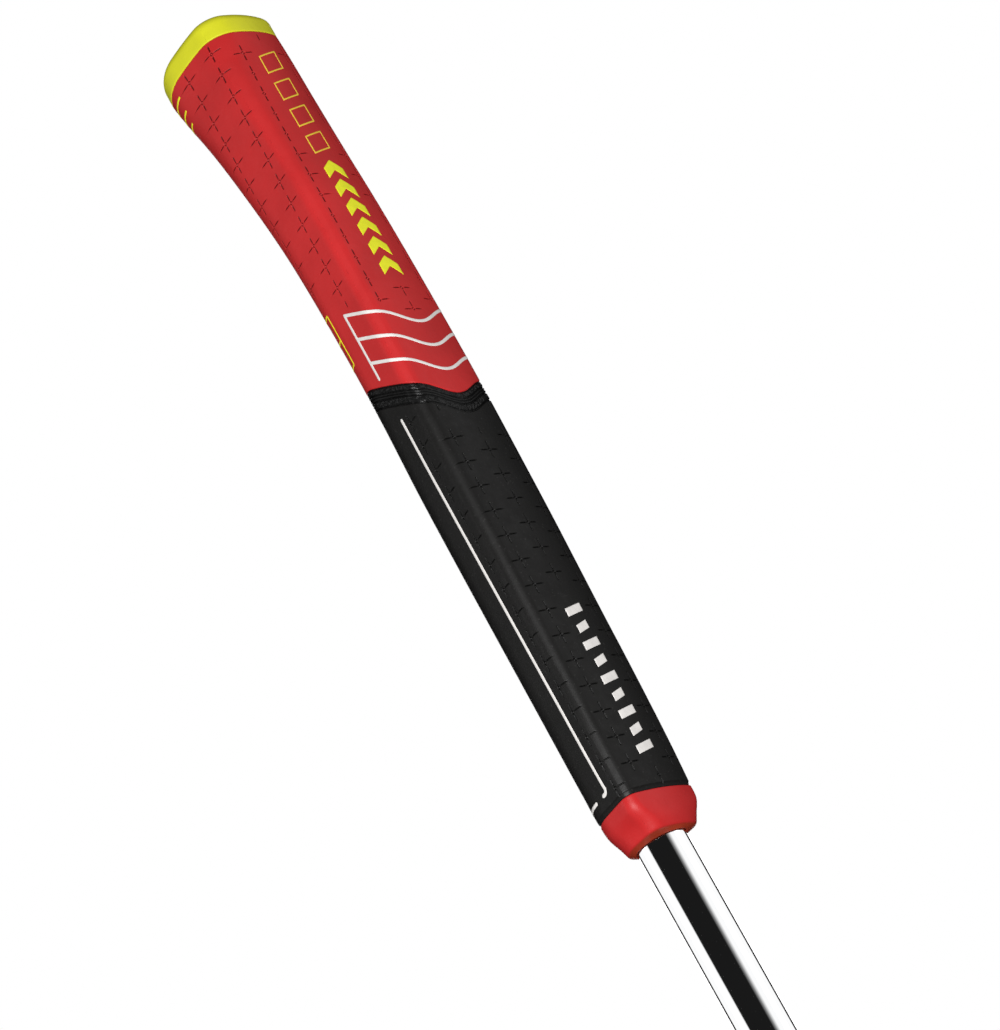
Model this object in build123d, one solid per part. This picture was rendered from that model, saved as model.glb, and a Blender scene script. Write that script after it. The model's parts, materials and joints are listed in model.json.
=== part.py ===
from build123d import *
import math
import os

# Golf grip of the pistol kind, fitted on the butt end of a steel shaft.
# Millimetres. +Z runs up the shaft towards the butt cap, the flat thumb face
# looks along -Y, and the origin is the shaft's cut lower end. Heights in this
# file are measured up from a datum DATUM_Z above that end.

# --- Shaft, tape and inner tube ---------------------------------------------
DATUM_Z = 80.0
MOUTH = 1.4               # lower edge of the grip
GRIP_TOP = 281.7
SHAFT_R = 7.366           # 0.580 inch butt section
SHAFT_BORE_R = 6.65
SHAFT_TOP = 270.0
TAPE_R = 7.57
TAPE_START = 6.0
GRIP_BORE_R = 7.62        # 0.05 running clearance over the tape
LINER_R = 8.45
LINER_START = 5.0
CAP_SEAT = 274.0          # underside of the butt cap
VENT_R = 1.5

# --- Outer shape ------------------------------------------------------------
# One row per station: height, distance from the axis to the thumb face, crown
# radius of that face, corner radius, half spacing of the corner centres, offset
# of the back circle, radius of the back circle.
STATIONS = (
    (MOUTH, 8.8, 28.0, 4.6, 5.1, 0.0, 9.6),
    (5.0, 9.8, 40.0, 4.1, 7.2, 0.0, 10.65),
    (9.6, 10.3, 60.0, 3.5, 10.6, 0.0, 12.25),
    (13.4, 10.45, 60.0, 3.4, 11.0, 0.0, 12.6),
    (24.0, 11.0, 60.0, 3.3, 11.6, 0.0, 12.65),
    (47.0, 12.1, 60.0, 3.3, 11.8, -0.2, 12.7),
    (73.0, 12.95, 60.0, 3.3, 12.0, -0.3, 12.65),
    (100.0, 14.0, 60.0, 3.4, 12.1, -0.3, 12.5),
    (124.0, 14.7, 60.0, 3.5, 12.1, -0.4, 12.3),
    (150.0, 15.4, 60.0, 3.5, 11.8, -0.8, 11.9),
    (184.0, 15.7, 60.0, 3.6, 11.25, -0.7, 11.8),
    (212.0, 15.6, 55.0, 3.8, 10.6, 0.3, 12.0),
    (232.0, 15.1, 46.0, 4.2, 10.2, 2.1, 12.4),
    (250.0, 14.7, 40.0, 5.0, 9.9, 4.4, 12.8),
    (267.0, 14.7, 38.0, 7.0, 8.2, 6.8, 13.6),
    (CAP_SEAT, 14.95, 38.0, 9.0, 6.0, 6.6, 14.7),
)
COLLAR_TOP = 13.4
CAP_EDGE_R = 2.9
CAP_EDGE_ANGLES = (0, 25, 50, 70, 84)

# --- Wavy seams -------------------------------------------------------------
WAVE_MEAN = 144.8         # height of the seam between the two halves
WAVE_DEPTH = 1.9
WAVE_HALF_SPAN = 14.0     # beyond this the wave runs level
WAVE_LEAN = 0.6           # rise per millimetre towards the back
WAVE_FRONT_Y = -15.0
BAND_WIDTH = 6.8
BAND_RECESS = 0.25
WAVE_SAMPLES = 6          # points of the wave's curve on each side of its middle
WAVE_LINE_OFFSETS = (8.2, 16.6, 25.0)

# --- Paint-filled marks -----------------------------------------------------
PAINT_DEPTH = 0.35
LINE_WIDTH = 1.0
SIDE_LINE_Y = -2.2
UPPER_LINE_SPAN = (156.5, 179.8)
LOWER_LINE_SPAN = (18.0, 143.0)
HOOK_END_Y = 0.2
BACK_ARC_START_Y = 3.4
FRAME_LINE_WIDTH = 0.6
FRAME_EDGE_Y = 4.9
FRAME_HEIGHTS = (167.4, 176.0, 184.6)
STROKE_WIDTH = 0.7
STROKES = ((270.3, 10.8), (265.9, 12.0), (261.9, 13.0))   # height, start in y
MARK_HALF_WIDTH = 4.0
OUTLINE_WIDTH = 0.5
OUTLINE_COUNT = 4
OUTLINE_START = 232.6
OUTLINE_PITCH = 10.0
OUTLINE_LENGTH = 6.6
OUTLINE_SLANT = 2.4
CHEVRON_COUNT = 6
CHEVRON_START = 187.4
CHEVRON_PITCH = 7.0
CHEVRON_LENGTH = 3.8
CHEVRON_RISE = 3.0
BAR_COUNT = 9
BAR_START = 26.0
BAR_PITCH = 5.5
BAR_LENGTH = 2.6
BAR_SLANT = 1.6
BAR_HALF_WIDTHS = (3.6, 2.5)                              # taken in turn
REACH = 40.0              # longer than any half section
OVERCUT = 1.0             # how far a cutting tool runs past the face it leaves through


def section_wire(station, inset=0.0):
    """Closed outline of one station, moved inwards by inset."""
    height, front, crown, corner, spread, back_y, back_r = station
    crown_y = crown - front
    crown -= inset
    corner -= inset
    back_r -= inset
    corner_y = crown_y - math.sqrt((crown - corner) ** 2 - spread ** 2)
    lean = math.asin(spread / (crown - corner))
    run = math.hypot(spread, back_y - corner_y)
    bearing = math.atan2(back_y - corner_y, -spread)
    side = bearing - math.acos((corner - back_r) / run)

    def on_circle(centre_x, centre_y, radius, angle):
        return Vector(centre_x + radius * math.cos(angle), centre_y + radius * math.sin(angle), height)

    def mirrored(point):
        return Vector(-point.X, point.Y, point.Z)

    front_end = on_circle(spread, corner_y, corner, lean - math.pi / 2)
    corner_mid = on_circle(spread, corner_y, corner, (lean - math.pi / 2 + side) / 2)
    side_start = on_circle(spread, corner_y, corner, side)
    side_end = on_circle(0, back_y, back_r, side)
    back_mid = on_circle(0, back_y, back_r, math.pi / 2)
    front_mid = on_circle(0, crown_y, crown, -math.pi / 2)
    edges = [
        ThreePointArc(mirrored(front_end), front_mid, front_end),
        ThreePointArc(front_end, corner_mid, side_start),
        Line(side_start, side_end),
        ThreePointArc(side_end, back_mid, mirrored(side_end)),
        Line(mirrored(side_end), mirrored(side_start)),
        ThreePointArc(mirrored(side_start), mirrored(corner_mid), mirrored(front_end)),
    ]
    return Wire(edges)


def skin(rows, inset=0.0):
    """Smooth solid through the section outlines of the given stations."""
    return Solid.make_loft([section_wire(row, inset) for row in rows])


def stations_between(low, high):
    return [row for row in STATIONS if low <= row[0] <= high]


def tube(outer_r, inner_r, low, high):
    """Tube on the shaft axis between two heights."""
    middle = Pos(0, 0, (low + high) / 2)
    return middle * (Cylinder(outer_r, high - low) - Cylinder(inner_r, high - low))


def rod(radius, low, high):
    return Pos(0, 0, (low + high) / 2) * Cylinder(radius, high - low)


def block(x_span, y_span, z_span):
    """Box given by its three spans."""
    spans = (x_span, y_span, z_span)
    sizes = [high - low for low, high in spans]
    centre = [(high + low) / 2 for low, high in spans]
    return Pos(*centre) * Box(*sizes)


def wave_height(x):
    reach = min(abs(x), WAVE_HALF_SPAN)
    return WAVE_MEAN - WAVE_DEPTH * math.cos(math.pi * reach / WAVE_HALF_SPAN)


def below_wave(offset):
    """Everything under the wavy surface that lies offset above the seam."""
    start_y = -REACH
    lift = offset + WAVE_LEAN * (start_y - WAVE_FRONT_Y)
    steps = range(-WAVE_SAMPLES, WAVE_SAMPLES + 1)
    samples = [WAVE_HALF_SPAN * step / WAVE_SAMPLES for step in steps]
    crest = [(x, start_y, wave_height(x) + lift) for x in samples]
    level = crest[0][2]
    profile = Wire([
        Spline(*crest, tangents=[(1, 0, 0), (1, 0, 0)]),
        Line(crest[-1], (REACH, start_y, level)),
        Line((REACH, start_y, level), (REACH, start_y, -REACH)),
        Line((REACH, start_y, -REACH), (-REACH, start_y, -REACH)),
        Line((-REACH, start_y, -REACH), (-REACH, start_y, level)),
        Line((-REACH, start_y, level), crest[0]),
    ])
    return Solid.extrude(Face(profile), Vector(0, 2 * REACH, 2 * REACH * WAVE_LEAN))


def wave_slab(low, high):
    return below_wave(high) - below_wave(low)


def prism(points):
    """Front-face mark: polygon in x and height, pushed through the thumb face."""
    outline = Polyline(*[(x, -REACH, z) for x, z in points], close=True)
    return Solid.extrude(Face(Wire(outline.edges())), Vector(0, REACH, 0))


def outlined(points, width):
    """Ring left when a slightly smaller copy of the polygon is taken away."""
    face = Face(Wire(Polyline(*[(x, z) for x, z in points], close=True).edges()))
    inner = offset(face, amount=-width, kind=Kind.INTERSECTION)
    ring = (face - inner).faces()[0]
    standing = Plane(origin=(0, -REACH, 0), x_dir=(1, 0, 0), z_dir=(0, -1, 0)).location * ring
    return Solid.extrude(standing, Vector(0, REACH, 0))


def bar(half_width, length, slant, height):
    """Slanted bar across the thumb face."""
    return [
        (-half_width, height - (length + slant) / 2),
        (half_width, height - (length - slant) / 2),
        (half_width, height + (length + slant) / 2),
        (-half_width, height + (length - slant) / 2),
    ]


def chevron(half_width, length, rise, height):
    """Chevron across the thumb face, pointing to the butt."""
    low = height - (length + rise) / 2
    return [
        (-half_width, low),
        (0, low + rise),
        (half_width, low),
        (half_width, low + length),
        (0, low + length + rise),
        (-half_width, low + length),
    ]


def export(name, shape):
    placed = Pos(0, 0, DATUM_Z) * shape
    placed.label = name
    export_step(placed, f"parts/{name}.step")


def main_solid(shape):
    """The single solid of a result, without slivers left by the cuts."""
    return max(shape.solids(), key=lambda solid: solid.volume)


def line_marks():
    """Cutting shapes of the lines on the sides and the back, by node name."""
    half = LINE_WIDTH / 2
    side = (SIDE_LINE_Y - half, SIDE_LINE_Y + half)
    front = block((-REACH, REACH), (-REACH, SIDE_LINE_Y), (MOUTH, CAP_SEAT))
    comb = block((-REACH, REACH), side, UPPER_LINE_SPAN)
    for step in WAVE_LINE_OFFSETS:
        comb += wave_slab(step - half, step + half) & front
    marks = {"wave_lines": comb}

    low, high = LOWER_LINE_SPAN
    turn = (low - half, low + half)
    for name, span in (("side_line_left", (-REACH, -LINER_R)), ("side_line_right", (LINER_R, REACH))):
        marks[name] = block(span, side, (turn[0], high)) + block(span, (side[0], HOOK_END_Y), turn)
    marks["back_arc"] = block((-REACH, REACH), (BACK_ARC_START_Y, REACH), turn)

    half = FRAME_LINE_WIDTH / 2
    edge = (FRAME_EDGE_Y - half, FRAME_EDGE_Y + half)
    frame = block((-REACH, REACH), edge, (FRAME_HEIGHTS[0] - half, FRAME_HEIGHTS[-1] + half))
    for height in FRAME_HEIGHTS:
        frame += block((-REACH, REACH), (FRAME_EDGE_Y, REACH), (height - half, height + half))
    marks["back_frame"] = frame

    half = STROKE_WIDTH / 2
    for number, (height, start) in enumerate(STROKES, 1):
        level = (height - half, height + half)
        marks[f"back_stroke_{number}"] = block((-REACH, REACH), (start, REACH), level)
    return marks


def front_marks():
    """Cutting shapes of the marks on the thumb face, by node name."""
    marks = {}
    for index in range(OUTLINE_COUNT):
        height = OUTLINE_START + index * OUTLINE_PITCH
        points = bar(MARK_HALF_WIDTH, OUTLINE_LENGTH, OUTLINE_SLANT, height)
        marks[f"outline_mark_{index + 1}"] = outlined(points, OUTLINE_WIDTH)
    for index in range(CHEVRON_COUNT):
        height = CHEVRON_START + index * CHEVRON_PITCH
        points = chevron(MARK_HALF_WIDTH, CHEVRON_LENGTH, CHEVRON_RISE, height)
        marks[f"chevron_mark_{index + 1}"] = prism(points)
    for index in range(BAR_COUNT):
        height = BAR_START + index * BAR_PITCH
        half_width = BAR_HALF_WIDTHS[index % len(BAR_HALF_WIDTHS)]
        marks[f"bar_mark_{index + 1}"] = prism(bar(half_width, BAR_LENGTH, BAR_SLANT, height))
    return marks


def build():
    os.makedirs("parts", exist_ok=True)
    body_rows = stations_between(COLLAR_TOP, CAP_SEAT)
    body = skin(body_rows)
    paint_floor = skin(body_rows, PAINT_DEPTH)
    paint_layer = body - paint_floor
    core = rod(LINER_R, MOUTH, CAP_SEAT)

    marks = line_marks()
    marks.update(front_marks())
    paint = {name: main_solid(paint_layer & shape) for name, shape in marks.items()}

    # Sleeves, split along the wavy seams.
    under_seam = below_wave(0)
    under_band = below_wave(-BAND_WIDTH)
    upper = body - under_seam - core
    lower = (body & under_band) - core
    band_skin = skin(body_rows, BAND_RECESS)
    band = (band_skin & under_seam) - under_band - core
    lower_names = ("side_line_left", "side_line_right", "back_arc")
    for name, inlay in paint.items():
        if name in lower_names or name.startswith("bar_mark"):
            lower = lower - inlay
        else:
            upper = upper - inlay

    collar = skin(stations_between(MOUTH, COLLAR_TOP))
    collar = collar - rod(GRIP_BORE_R, MOUTH - OVERCUT, LINER_START)
    collar = collar - rod(LINER_R, LINER_START, COLLAR_TOP + OVERCUT)

    seat = STATIONS[-1]
    straight = GRIP_TOP - CAP_EDGE_R * math.sin(math.radians(CAP_EDGE_ANGLES[-1]))
    cap_wires = [section_wire(seat)]
    for angle in CAP_EDGE_ANGLES:
        turn = math.radians(angle)
        row = (straight + CAP_EDGE_R * math.sin(turn),) + seat[1:]
        cap_wires.append(section_wire(row, CAP_EDGE_R * (1 - math.cos(turn))))
    cap = Solid.make_loft(cap_wires) - rod(VENT_R, CAP_SEAT - OVERCUT, GRIP_TOP + OVERCUT)

    # Inner tube, tape and shaft.
    liner = tube(LINER_R, GRIP_BORE_R, LINER_START, CAP_SEAT)
    tape = tube(TAPE_R, SHAFT_R, TAPE_START, SHAFT_TOP)
    shaft = tube(SHAFT_R, SHAFT_BORE_R, -DATUM_Z, SHAFT_TOP)

    pieces = {
        "shaft": shaft,
        "grip_tape": tape,
        "liner_tube": liner,
        "mouth_collar": collar,
        "lower_sleeve": lower,
        "transition_band": band,
        "upper_sleeve": upper,
        "butt_cap": cap,
    }
    pieces.update(paint)
    for name, shape in pieces.items():
        export(name, shape)


build()
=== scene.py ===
import json
import math

import bpy
import numpy as np
from mathutils import Matrix, Vector

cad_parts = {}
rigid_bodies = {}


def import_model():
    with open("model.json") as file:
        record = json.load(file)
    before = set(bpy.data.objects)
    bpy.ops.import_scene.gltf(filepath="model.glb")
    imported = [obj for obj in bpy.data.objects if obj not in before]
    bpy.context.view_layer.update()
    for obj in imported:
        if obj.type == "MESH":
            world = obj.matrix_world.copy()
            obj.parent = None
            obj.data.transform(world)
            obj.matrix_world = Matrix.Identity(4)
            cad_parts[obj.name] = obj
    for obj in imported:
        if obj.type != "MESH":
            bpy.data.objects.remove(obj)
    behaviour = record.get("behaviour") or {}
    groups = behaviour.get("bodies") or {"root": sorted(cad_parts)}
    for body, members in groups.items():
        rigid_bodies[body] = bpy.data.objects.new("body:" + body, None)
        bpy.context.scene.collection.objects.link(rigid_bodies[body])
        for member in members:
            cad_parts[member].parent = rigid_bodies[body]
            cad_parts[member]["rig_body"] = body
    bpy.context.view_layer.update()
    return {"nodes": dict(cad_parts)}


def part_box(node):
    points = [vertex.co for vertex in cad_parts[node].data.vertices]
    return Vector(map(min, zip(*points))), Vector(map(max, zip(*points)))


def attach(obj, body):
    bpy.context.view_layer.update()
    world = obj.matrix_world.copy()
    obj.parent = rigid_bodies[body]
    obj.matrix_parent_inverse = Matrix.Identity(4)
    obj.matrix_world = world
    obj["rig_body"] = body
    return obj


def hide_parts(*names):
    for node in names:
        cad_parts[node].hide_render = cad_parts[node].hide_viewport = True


# Looks of the golf grip. Sizes are in millimetres and heights are measured up
# from a datum near the grip's mouth, until write_object turns both into metres
# of the frame.
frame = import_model()

MM = 0.001
CAP_SEAT = 274.0
DATUM_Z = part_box("butt_cap")[0][2] / MM - CAP_SEAT


def level(node, corner):
    """Height of a CAD node's lowest (0) or highest (1) corner above the datum."""
    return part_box(node)[corner][2] / MM - DATUM_Z


MOUTH = level("mouth_collar", 0)
COLLAR_TOP = level("mouth_collar", 1)
GRIP_TOP = level("butt_cap", 1)
SHAFT_LOW = level("shaft", 0)
SHAFT_TOP = level("shaft", 1)
SHAFT_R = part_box("shaft")[1][0] / MM
TAPE_LOW = level("grip_tape", 0)
TAPE_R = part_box("grip_tape")[1][0] / MM
LINER_LOW = level("liner_tube", 0)
LINER_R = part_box("liner_tube")[1][0] / MM
GRIP_BORE_R = 7.62
SHAFT_BORE_R = 6.65
VENT_R = 1.5

# Outer shape: height, axis to thumb face, crown radius of that face, corner
# radius, half spacing of the corners, offset and radius of the back circle.
STATIONS = np.array([
    (1.4, 8.8, 28.0, 4.6, 5.1, 0.0, 9.6),
    (5.0, 9.8, 40.0, 4.1, 7.2, 0.0, 10.65),
    (9.6, 10.3, 60.0, 3.5, 10.6, 0.0, 12.25),
    (13.4, 10.45, 60.0, 3.4, 11.0, 0.0, 12.6),
    (24.0, 11.0, 60.0, 3.3, 11.6, 0.0, 12.65),
    (47.0, 12.1, 60.0, 3.3, 11.8, -0.2, 12.7),
    (73.0, 12.95, 60.0, 3.3, 12.0, -0.3, 12.65),
    (100.0, 14.0, 60.0, 3.4, 12.1, -0.3, 12.5),
    (124.0, 14.7, 60.0, 3.5, 12.1, -0.4, 12.3),
    (150.0, 15.4, 60.0, 3.5, 11.8, -0.8, 11.9),
    (184.0, 15.7, 60.0, 3.6, 11.25, -0.7, 11.8),
    (212.0, 15.6, 55.0, 3.8, 10.6, 0.3, 12.0),
    (232.0, 15.1, 46.0, 4.2, 10.2, 2.1, 12.4),
    (250.0, 14.7, 40.0, 5.0, 9.9, 4.4, 12.8),
    (267.0, 14.7, 38.0, 7.0, 8.2, 6.8, 13.6),
    (274.0, 14.95, 38.0, 9.0, 6.0, 6.6, 14.7),
])

# Near the butt, level lines on the skin dip towards the back.
DIP_START = 246.0
DIP_SLOPE = 0.063
DIP_CURVE = 0.0046

# Wavy seams.
WAVE_MEAN = 144.8
WAVE_DEPTH = 1.9
WAVE_HALF_SPAN = 14.0
WAVE_LEAN = 0.6
WAVE_FRONT_Y = -15.0
BAND_WIDTH = 6.8
BAND_SINK = 0.24
BAND_ROUGH_LIFT = 0.16
BAND_ROUGH_DEPTH = 0.13
BAND_RIDGES = ((3.25, 0.38), (4.1, 0.34))      # middle and half width, up from the band's low edge
BAND_ROUGH_SPANS = ((0.35, 2.55), (4.75, 6.5))
WAVE_LINE_OFFSETS = (8.2, 16.6, 25.0)

# Rows of cross-shaped grooves. Each guide gives (height, distance round the
# section from the centre of the thumb face). DASH and ARM give where the strokes
# of a cross start and end, along the grip and across it.
EDGE_GUIDE = (
    (13, 8.2), (46, 9.2), (80, 9.9), (112, 10.8), (150, 11.1), (191, 10.9), (221, 10.4), (274, 8.5),
)
SIDE_GUIDE = (
    (13, 16.5), (42, 18.3), (92, 20.9), (140, 23.0), (187, 22.7), (203, 22.4), (240, 19.6), (274, 17.7),
)
REAR_GUIDE = ((13, 31.0), (92, 32.7), (140, 34.0), (203, 34.0), (240, 32.0), (274, 30.4))
DASH = (1.15, 2.5)
ARM = (1.3, 3.0)
DASH_HALF = 0.29
ARM_HALF = 0.21
RING_R = 0.4
RING_HALF = 0.15
GROOVE_DEPTH = 0.3
UPPER_PITCH = 7.55
UPPER_EDGE_START = 266.4
UPPER_SIDE_START = 270.0
LOWER_PITCH = 8.17
LOWER_EDGE_START = 136.6
LOWER_SIDE_START = 139.6
UPPER_ROWS_LOW = 163.0    # heights between which the grid follows the crosses
UPPER_ROWS_HIGH = CAP_SEAT - 1.0
LOWER_ROWS_LOW = COLLAR_TOP + 1.6
LOWER_ROWS_HIGH = 135.0

# Moulded edges: rounding radius, and how far from the edge its grid rows lie.
EDGE_R = 0.4
EDGE_STEPS = (0.0, 0.04, 0.1, 0.18, 0.28, 0.4)

# Paint.
LINE_WIDTH = 1.0
LONG_LINE_WIDTH = 1.15
PAINT_LIFT = 0.06
PAINT_ROOT = -0.25
RIBBON_ACROSS = np.array([-0.5, -0.5, -0.42, -0.15, 0.15, 0.42, 0.5, 0.5])
RIBBON_SHOULDER = 0.8 * PAINT_LIFT
RIBBON_LIFT = np.array([
    PAINT_ROOT, 0.0, RIBBON_SHOULDER, PAINT_LIFT, PAINT_LIFT, RIBBON_SHOULDER, 0.0, PAINT_ROOT,
])
LINE_END_STEPS = (0.0, 0.02, 0.06, 0.13, 0.22, 0.34, 0.5)    # in line widths
HOOK_BEND = 1.3
SIDE_LINE_Y = -2.2
UPPER_LINE_SPAN = (156.5, 179.8)
LOWER_LINE_SPAN = (18.0, 143.0)
HOOK_END_Y = 0.2
BACK_ARC_START_Y = 3.4
FRAME_LINE_WIDTH = 0.6
FRAME_EDGE_Y = 4.9
FRAME_HEIGHTS = (167.4, 176.0, 184.6)
STROKE_WIDTH = 0.7
STROKES = ((270.3, 10.8), (265.9, 12.0), (261.9, 13.0))
MARK_HALF_WIDTH = 4.0
OUTLINE_WIDTH = 0.5
OUTLINE_COUNT = 4
OUTLINE_START = 232.6
OUTLINE_PITCH = 10.0
OUTLINE_LENGTH = 6.6
OUTLINE_SLANT = 2.4
CHEVRON_COUNT = 6
CHEVRON_START = 187.4
CHEVRON_PITCH = 7.0
CHEVRON_LENGTH = 3.8
CHEVRON_RISE = 3.0
BAR_COUNT = 9
BAR_START = 26.0
BAR_PITCH = 5.5
BAR_LENGTH = 2.6
BAR_SLANT = 1.6
BAR_HALF_WIDTHS = (3.6, 2.5)

# Camera.
VIEW_AZIMUTH = -54.0
VIEW_ELEVATION = -20.5
VIEW_DISTANCE = 1200.0
VIEW_HEIGHT = 107.8
VIEW_SIDE_STEP = 5.3
VIEW_ROLL = 29.28
FOCAL_MM = 149.2

# Light. Turns are in degrees from the camera's azimuth, distances in metres.
KEY_POWER = 5.5
FILL_POWER = 3.4
BACK_POWER = 9.0
FLOOR_SUN = 2.5
FLOOR_HALF_SIZE = 20.0
FLOOR_HEIGHT = -0.9
WORLD_SEEN = 1.0
WORLD_MIRRORED = 0.3
WORLD_LIGHTING = 0.22
SURROUND_DARK = 0.01
SURROUND_KNOTS = (
    (-60, SURROUND_DARK), (33, SURROUND_DARK), (42, 0.25), (56, 1.0), (136, 1.0),
    (139, SURROUND_DARK), (221, SURROUND_DARK), (224, 1.0), (296, 1.0), (300, SURROUND_DARK),
)
SURROUND_DISTANCE = 3.0
AIM = Vector((0, 0, (DATUM_Z + VIEW_HEIGHT) * MM))


# ---------------------------------------------------------------- outer skin
def smooth_table(knots, values, at):
    """Cubic curve through (knots, values), read at the given places."""
    slope = np.gradient(values, knots)
    place = np.clip(at, knots[0], knots[-1])
    low = np.clip(np.searchsorted(knots, place, side="right") - 1, 0, len(knots) - 2)
    gap = knots[low + 1] - knots[low]
    t = (place - knots[low]) / gap
    from_low = (2 * t**3 - 3 * t**2 + 1) * values[low] + (t**3 - 2 * t**2 + t) * gap * slope[low]
    from_high = (3 * t**2 - 2 * t**3) * values[low + 1] + (t**3 - t**2) * gap * slope[low + 1]
    return from_low + from_high


def section(height):
    """Arc centres, radii, turning angles and arc lengths of the section at each height."""
    front, crown, corner, spread, back_y, back_r = (
        smooth_table(STATIONS[:, 0], STATIONS[:, column], height) for column in range(1, 7)
    )
    crown_y = crown - front
    corner_y = crown_y - np.sqrt((crown - corner) ** 2 - spread**2)
    lean = np.arcsin(spread / (crown - corner))
    run = np.hypot(spread, back_y - corner_y)
    side = np.arctan2(back_y - corner_y, -spread) - np.arccos((corner - back_r) / run)
    straight = np.sqrt(run**2 - (back_r - corner) ** 2)
    ends = np.cumsum([
        crown * lean,
        corner * (math.pi / 2 - lean + side),
        straight,
        back_r * (math.pi / 2 - side),
    ], axis=0)
    return crown, crown_y, corner, corner_y, spread, back_y, back_r, lean, side, ends


def half_girth(height):
    return section(height)[-1][-1]


def skin(arc, height, lift=0.0):
    """Points (x, y) that lie lift off the skin, arc round from the centre of the thumb face."""
    arc, height, lift = np.broadcast_arrays(arc, height, lift)
    crown, crown_y, corner, corner_y, spread, back_y, back_r, lean, side, ends = section(height)
    reach = np.abs(arc)
    zones = [reach < ends[0], reach < ends[1], reach < ends[2]]
    angle = np.select(zones, [
        reach / crown - math.pi / 2,
        lean - math.pi / 2 + (reach - ends[0]) / corner,
        side,
    ], side + (reach - ends[2]) / back_r)
    along = reach - ends[1]
    centre_x = np.select(zones, [0 * reach, spread, spread - np.sin(side) * along], 0 * reach)
    centre_y = np.select(zones, [crown_y, corner_y, corner_y + np.cos(side) * along], back_y)
    radius = np.select(zones, [crown, corner, corner], back_r) + lift
    x = np.where(arc < 0, -1.0, 1.0) * (centre_x + radius * np.cos(angle))
    return x, centre_y + radius * np.sin(angle)


def dipped(height, y):
    """Height of a point after the butt end's dip is taken off."""
    weight = np.clip((height - DIP_START) / (CAP_SEAT - DIP_START), 0, 1)
    return height - weight**2 * (DIP_SLOPE * y + DIP_CURVE * y**2)


def skin_points(arc, height, lift=0.0):
    """Stacked x, y, z of skin points, with the dip."""
    arc, height, lift = np.broadcast_arrays(arc, height, lift)
    x, y = skin(arc, height, lift)
    return np.stack([x, y, dipped(height, y)], axis=-1)


def wave_height(arc, offset):
    """Height at which the wavy surface, offset above the seam, meets the skin."""
    height = np.full(np.shape(arc), WAVE_MEAN + offset)
    for _ in range(12):
        x, y = skin(arc, height)
        reach = np.minimum(np.abs(x), WAVE_HALF_SPAN)
        crest = WAVE_MEAN - WAVE_DEPTH * np.cos(math.pi * reach / WAVE_HALF_SPAN)
        height = crest + offset + WAVE_LEAN * (y - WAVE_FRONT_Y)
    return height


def arc_at_y(y, height):
    """Distance round the section, on the +x side, at which the skin passes y."""
    low = np.zeros(np.shape(height))
    high = half_girth(height)
    for _ in range(40):
        middle = (low + high) / 2
        below = skin(middle, height)[1] < y
        low = np.where(below, middle, low)
        high = np.where(below, high, middle)
    return (low + high) / 2


def guide_arc(guide, height):
    """A groove row's distance round the section at each height."""
    knots = np.array([point[0] for point in guide], float)
    values = np.array([point[1] for point in guide], float)
    return smooth_table(knots, values, height)


# -------------------------------------------------------------- mesh helpers
def grid_faces(rows, columns, wrap_rows, wrap_columns, first=0):
    index = first + np.arange(rows * columns).reshape(rows, columns)
    if wrap_rows:
        index = np.vstack([index, index[:1]])
    if wrap_columns:
        index = np.hstack([index, index[:, :1]])
    corners = (index[:-1, :-1], index[:-1, 1:], index[1:, 1:], index[1:, :-1])
    return np.stack(corners, axis=-1).reshape(-1, 4).tolist()


def loop_grid(points, wrap_rows=True):
    """(vertices, faces) of a grid whose columns close round, with end caps if its rows don't."""
    rows, columns = points.shape[:2]
    faces = grid_faces(rows, columns, wrap_rows, True)
    if not wrap_rows:
        faces.append(list(range(columns)))
        faces.append(list(range((rows - 1) * columns, rows * columns))[::-1])
    return points.reshape(-1, 3), faces


def outward(vertices, faces):
    """The faces, turned over if they enclose a negative volume."""
    volume = 0.0
    for size in {len(face) for face in faces}:
        group = np.array([face for face in faces if len(face) == size])
        first = vertices[group[:, 0]]
        for corner in range(1, size - 1):
            normal = np.cross(vertices[group[:, corner]], vertices[group[:, corner + 1]])
            volume += float(np.sum(first * normal))
    return faces if volume > 0 else [face[::-1] for face in faces]


def write_object(name, parts, material, body, cad_node=None, cavity=None):
    """One Blender object from (vertices, faces) parts in millimetres above the datum."""
    vertices = []
    faces = []
    for part_vertices, part_faces in parts:
        first = sum(len(block) for block in vertices)
        turned = outward(part_vertices, part_faces)
        faces.extend([[first + index for index in face] for face in turned])
        vertices.append(part_vertices)
    placed = (np.concatenate(vertices) + np.array([0, 0, DATUM_Z])) * MM
    mesh = bpy.data.meshes.new(name)
    mesh.from_pydata(placed.tolist(), [], faces)
    mesh.polygons.foreach_set("use_smooth", [True] * len(mesh.polygons))
    # Share of painted shade at each point, read by the rubber materials to darken grooves and hollows.
    if cavity is not None:
        layer = mesh.attributes.new("cavity", "FLOAT", "POINT")
        layer.data.foreach_set("value", np.asarray(cavity, np.float32).ravel())
    mesh.materials.append(material)
    mesh.update()
    piece = bpy.data.objects.new(name, mesh)
    bpy.context.scene.collection.objects.link(piece)
    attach(piece, body)
    if cad_node is not None:
        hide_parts(cad_node)
    return piece


def circle_points(radius, angles, height):
    """Rings of points on circles about the shaft axis."""
    angles, height, radius = np.broadcast_arrays(angles, height, radius)
    return np.stack([radius * np.cos(angles), radius * np.sin(angles), height], axis=-1)


def lathe(profile, segments):
    """Closed ring swept round the axis from (radius, height) profile points."""
    angles = np.linspace(0, 2 * math.pi, segments, endpoint=False)
    rings = [circle_points(radius, angles, height) for radius, height in profile]
    return loop_grid(np.stack(rings))


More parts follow.
